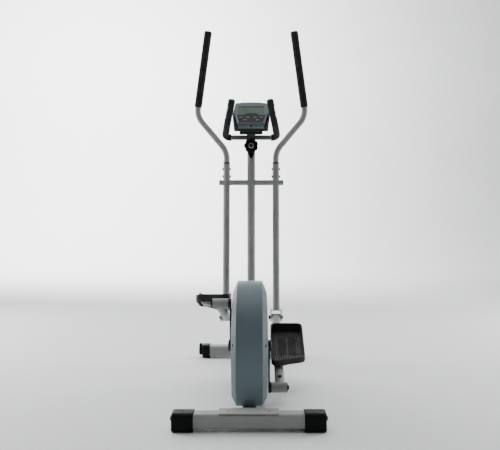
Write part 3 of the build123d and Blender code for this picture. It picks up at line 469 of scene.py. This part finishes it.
FIXED_RUN = ((0.096, 0.400, 1.083), (0.126, 0.400, 1.083), (0.112, 0.310, 1.135),
             (0.088, 0.250, 1.238))  # centre line of the right fixed grip, from its open edge
FIXED_BENDS = (0.024, 0.080)
FIXED_RADIUS = 0.0163
FIXED_TIP = 0.006                   # foam past the tube's end
FIXED_RING_X = 0.0948
last_run = (Vector(FIXED_RUN[3]) - Vector(FIXED_RUN[2])).normalized()
fixed_tip = Vector(FIXED_RUN[3]) + last_run * FIXED_TIP
for name, side in SIDES.items():
    points = [*FIXED_RUN[:3], tuple(fixed_tip)]
    path = bent_points([(side * x, y, z) for x, y, z in points], FIXED_BENDS)
    grip = tube(f"fixed_{name}_foam", fine_ends(path), foam_radius(FIXED_RADIUS, 0.002, 0.006),
                FOAM, "fixed_bar")
    lathe(f"fixed_{name}_ring", (side * FIXED_RING_X, *FIXED_RUN[0][1:]), (side, 0, 0),
          ring_profile(0.0116, 0.0152, -0.0012, 0.0012, 0.0004),
          SENSOR, "fixed_bar")
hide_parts("fixed_grips")
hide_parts("fixed_grips")

# ---- Console ----
FACE_ORIGIN = Vector((0, 0.300, 1.140))
TILT = math.sqrt(0.5)               # the face leans back by 45 degrees
UP_FACE = Vector((0, TILT, TILT))
OUT_FACE = Vector((0, -TILT, TILT))
CORNER_STEPS = 5
OVAL_STEPS = 10


def face_point(x, t, z):
    """A place on the console: right, up along the face and out of it, in millimetres."""
    return FACE_ORIGIN + Vector((x, 0, 0)) / 1000 + UP_FACE * (t / 1000) + OUT_FACE * (z / 1000)


def plate(outline, low, high, rounding=0.0):
    """A bmesh prism on the console's face, with its corners rounded."""
    points = []
    count = len(outline)
    for i in range(count):
        before, corner, after = (Vector(outline[(i + d) % count]) for d in (-1, 0, 1))
        if not rounding:
            points.append(corner)
            continue
        into = corner + (before - corner).normalized() * rounding
        out = corner + (after - corner).normalized() * rounding
        for k in range(CORNER_STEPS + 1):
            f = k / CORNER_STEPS
            points.append(into.lerp(corner, f).lerp(corner.lerp(out, f), f))
    build = bmesh.new()
    lower = [build.verts.new(face_point(p.x, p.y, low)) for p in points]
    upper = [build.verts.new(face_point(p.x, p.y, high)) for p in points]
    build.faces.new(upper)
    build.faces.new(lower[::-1])
    bridge(build, lower, upper)
    return build


def oval(x, t, half, radius):
    """The outline of an oval lying across the face."""
    points = []
    for end in (1, -1):
        for k in range(OVAL_STEPS + 1):
            angle = math.radians(-90 + 180 * k / OVAL_STEPS) + (0 if end > 0 else math.pi)
            points.append((x + end * half + radius * math.cos(angle),
                           t + radius * math.sin(angle)))
    return points


def rectangle(left, low, right, high):
    """The outline of a rectangle on the face."""
    return [(left, low), (right, low), (right, high), (left, high)]


BUTTONS = ((-48.5, 45.0), (-17.0, 45.0), (17.0, 45.0), (48.5, 45.0), (-29.0, 25.5), (29.0, 25.5))
BUTTON_HOLE = (4.0, 4.9)            # half the straight part, and the radius of the ends
PANEL_TOP = 66                      # the panel's shoulders, below its arch
ARCH_SIZE = (34, 11)                # half width and rise
arch = [(ARCH_SIZE[0] * math.cos(math.radians(a)),
         PANEL_TOP + ARCH_SIZE[1] * math.sin(math.radians(a))) for a in range(0, 181, 15)]
panel_outline = [(-56, 8), (0, 4), (56, 8), (69, PANEL_TOP), *arch, (-69, PANEL_TOP)]
panel = piece("button_panel", plate(panel_outline, -0.6, 0.7), PANEL, "frame")

# The panel's button holes, all cut at once.
holes = bmesh.new()
for x, t in BUTTONS:
    cutter = plate(oval(x, t, *BUTTON_HOLE), -3, 3)
    scrap = bpy.data.meshes.new("scrap")
    cutter.to_mesh(scrap)
    cutter.free()
    holes.from_mesh(scrap)
hole_mesh = bpy.data.meshes.new("holes")
bmesh.ops.recalc_face_normals(holes, faces=holes.faces)
holes.to_mesh(hole_mesh)
holes.free()
hole_obj = link("holes", hole_mesh)
cut = panel.modifiers.new("cut", "BOOLEAN")
cut.object = hole_obj
cut.operation = "DIFFERENCE"
bpy.context.view_layer.update()
cut_panel = panel.evaluated_get(bpy.context.evaluated_depsgraph_get())
panel_mesh = bpy.data.meshes.new_from_object(cut_panel)
panel.modifiers.clear()
panel.data = panel_mesh
panel_mesh.shade_smooth()
panel_mesh.set_sharp_from_angle(angle=math.radians(PIECE_SHARP_ANGLE))
bpy.data.objects.remove(hole_obj)

TRIM_LINE = ((-71, 68), (-58, 6.5), (-30, 3.2), (0, 2.2), (30, 3.2), (58, 6.5), (71, 68))
TRIM_BENDS = (0.006, 0.05, 0.05, 0.05, 0.006)
trim_path = bent_points([face_point(x, t, 0.8) for x, t in TRIM_LINE], TRIM_BENDS)
tube("panel_trim", evenly(trim_path, 0.004), lambda start, end: 0.0014,
     TRIM, "frame", 12)

# ---- Display ----
# Dark display material: the cells' printed marks, and the painted shadow along the top of the
# display's recess.
LCD_MARKS_AND_SHADE = finish_material(
    "lens", (0.03, 0.042, 0.038), (0.25, 0.35), 0.1, 40, 1500, 0.00002, gloss=0.3)
LCD, lcd_tree, lcd_shader, lcd_coords = node_tree("lcd_green")
lcd_tone = ramp(lcd_tree, noise(lcd_tree, lcd_coords, 28.0),
                (NOISE_LOW, (0.055, 0.098, 0.07)), (NOISE_HIGH, (0.085, 0.125, 0.092)))
lcd_tree.links.new(lcd_tone, lcd_shader.inputs["Base Color"])
lcd_rough = spread(lcd_tree, noise(lcd_tree, lcd_coords, 60.0), 0.14, 0.22)
lcd_tree.links.new(lcd_rough, lcd_shader.inputs["Roughness"])
lcd_shader.inputs["Specular IOR Level"].default_value = 0.2
bump(lcd_tree, lcd_shader, noise(lcd_tree, lcd_coords, 1500.0), 0.00002)

CELLS = 4
CELL_PITCH = 28
CELL_WIDTH = 25
lcd = piece("lcd", plate(rectangle(-59.5, 79, 59.5, 129.5), -2.8, -1.0, 3), LCD, "frame")
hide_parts("display_window")
# A thin dark strip along the display's top edge: painted shadow of the recess above it.
piece("lcd_recess_shadow", plate(rectangle(-58, 124, 58, 128.6), -1.2, -0.6, 1.5),
      LCD_MARKS_AND_SHADE, "frame")
for column in range(CELLS):
    left = -55 + column * CELL_PITCH
    piece(f"lcd_cell_{column + 1}", plate(rectangle(left, 100, left + CELL_WIDTH, 101), -1.2, -0.85),
          LCD_MARKS_AND_SHADE, "frame")
BEZEL_LINE = ((0, 77.6), (61, 77.6), (61, 130.6), (-61, 130.6), (-61, 77.6), (-0.5, 77.6))
bezel_path = bent_points([face_point(x, t, 0.0) for x, t in BEZEL_LINE], (0.004,) * 4)
tube("lcd_bezel", evenly(bezel_path, 0.003), lambda start, end: 0.0011,
     CONSOLE, "frame", 10)

# ---- Turned rings, seals, washers and welds ----
MAST_Y = 0.420
PIVOT = (0, MAST_Y, 0.866)          # the axis that both arms swing on
CRANK = (0, -0.220, 0.224)          # the crank's axis
CRANK_LENGTH = 0.162
ARM_FOOT = (0, 0.360, 0.224)        # the arms' lower pivot
ARM_X = 0.1195
COLLAR_RISE = 0.0955                # from the pivot up the arm
arm_up = (Vector(PIVOT) - Vector(ARM_FOOT)).normalized()


def across(side, place, x):
    """A place moved out sideways to this distance from the middle, in metres."""
    return (side * x, place[1], place[2])


for name, side in SIDES.items():
    outward = (side, 0, 0)
    arm_pivot = across(side, PIVOT, ARM_X)
    lathe(f"{name}_pivot_washer", across(side, PIVOT, 0.0671), outward,
          ring_profile(0.0095, 0.0137, -0.0003, 0.0003, 0.0001),
          BLACK_STEEL, "frame")
    lathe(f"{name}_arm_collar", Vector(arm_pivot) + arm_up * COLLAR_RISE, arm_up,
          ring_profile(0.0144, 0.0169, -0.004, 0.0022), GRAPHITE, f"{name}_arm")
    weld(f"{name}_sleeve_weld", arm_pivot, arm_up, 0.0159, f"{name}_arm", 0.0012)
    lathe(f"{name}_hub_seal", across(side, CRANK, 0.0683), outward,
          ring_profile(0.0196, 0.0255, -0.003, 0.0012), CAP, "frame")
    lathe(f"{name}_axle_cap", across(side, CRANK, 0.0826), outward,
          [(0.0004, 0.0), (0.0128, 0.0), (0.0128, 0.0008), (0.0118, 0.0017), (0.0004, 0.0020)],
          CAP, "crank")
weld("mast_weld_left", across(-1, PIVOT, 0.0188), X_AXIS, 0.0127, "frame", 0.0016)
weld("mast_weld_right", across(1, PIVOT, 0.0188), X_AXIS, 0.0127, "frame", 0.0016)
weld("socket_weld", (0, MAST_Y, 0.0462), Z_AXIS, 0.023, "frame", 0.0022)

low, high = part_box("clamp_knob")
knob_face = (0, low[1], (low[2] + high[2]) / 2)
lathe("knob_ring", knob_face, (0, -1, 0), ring_profile(0.0088, 0.0125, -0.0035, 0.0006, 0.0005),
      SENSOR, "knob")
lathe("knob_button", knob_face, (0, -1, 0),
      [(0.0003, -0.003), (0.0078, -0.003), (0.0078, -0.0006), (0.0066, 0.0006), (0.0003, 0.0011)],
      BLACK, "knob")
SOCKET_PLACE = (0, 0.2990, 1.1295)
SOCKET_AXIS = (0, -0.93, -0.36)
lathe("socket_rim", SOCKET_PLACE, SOCKET_AXIS,
      ring_profile(0.0052, 0.0074, -0.004, 0.0016, 0.0006), CONSOLE, "frame")
lathe("socket_hole", SOCKET_PLACE, SOCKET_AXIS,
      [(0.0003, -0.004), (0.0052, -0.004), (0.0052, 0.0012), (0.0003, 0.0012)],
      BLACK, "frame")

# ---- Pedal tread ----
TREAD_HEIGHT = 0.045                # the sole above the crank pin's axis
STUD_SEGMENTS = 10
STUD_ROWS = 16
STUD_PITCH = 0.009
STUD_MIDDLE = 0.242                 # middle of the long rows, from the crank pin
STUD_COLUMNS = (0.1095, 0.154, 0.194, 0.2065)
BOLT_COLUMNS = (0.128, 0.190)       # no studs near the pedal bolts
BOLT_ROWS = (0.172, 0.29)
BOLT_CLEAR = 0.010
HEEL_ROWS = 4
HEEL_COLUMNS = 12
HEEL_ROW_PITCH = 0.0105
HEEL_COLUMN_PITCH = 0.0095
HEEL_INNER = (0.103, 0.086)         # first column, and the heel's inner corner
HEEL_EDGE = 0.120                   # the first row at the inner corner
HEEL_SKEW = 0.275                   # the heel edge is oblique
HEEL_END = 0.164


def pedal_frame(side):
    """The crank pin, and the directions along and up from the foot bar."""
    pin = Vector((0, CRANK[1], CRANK[2] - side * CRANK_LENGTH))
    along = (Vector(ARM_FOOT) - pin).normalized()
    return pin, along, X_AXIS.cross(along)


def stud(build, centre, along, up, radius, height):
    """A low domed stud added to a bmesh."""
    rings = [circle(build, centre + up * height * lift, X_AXIS, along, radius * width, STUD_SEGMENTS)
             for width, lift in ((1.0, -0.3), (0.95, 0.35), (0.7, 0.8))]
    tip = build.verts.new(centre + up * height)
    for near, far in zip(rings, rings[1:]):
        bridge(build, near, far)
    crown = rings[-1]
    for k in range(STUD_SEGMENTS):
        build.faces.new((crown[k], crown[(k + 1) % STUD_SEGMENTS], tip))
    build.faces.new(rings[0][::-1])


def near_any(value, places):
    """Whether a value lies close to one of the bolts' places."""
    return min(abs(value - place) for place in places) < BOLT_CLEAR


for name, side in SIDES.items():
    pin, along, up = pedal_frame(side)
    build = bmesh.new()
    for row in range(STUD_ROWS):
        reach = STUD_MIDDLE + (row - (STUD_ROWS - 1) / 2) * STUD_PITCH
        for x in STUD_COLUMNS:
            if near_any(x, BOLT_COLUMNS) and near_any(reach, BOLT_ROWS):
                continue
            place = pin + X_AXIS * (side * x) + along * (reach + STUD_PITCH / 2) + up * TREAD_HEIGHT
            stud(build, place, along, up, 0.0019, 0.0013)
    for row in range(HEEL_ROWS):
        for column in range(HEEL_COLUMNS):
            x = HEEL_INNER[0] + column * HEEL_COLUMN_PITCH
            stagger = STUD_PITCH / 2 if column % 2 else 0
            reach = HEEL_EDGE + HEEL_SKEW * (x - HEEL_INNER[1]) + row * HEEL_ROW_PITCH + stagger
            if reach > HEEL_END:
                continue
            place = pin + X_AXIS * (side * x) + along * reach + up * TREAD_HEIGHT
            stud(build, place, along, up, 0.0026, 0.0015)
    piece(f"{name}_tread_studs", build, STUD_HIGHLIGHT, f"{name}_foot", 60)
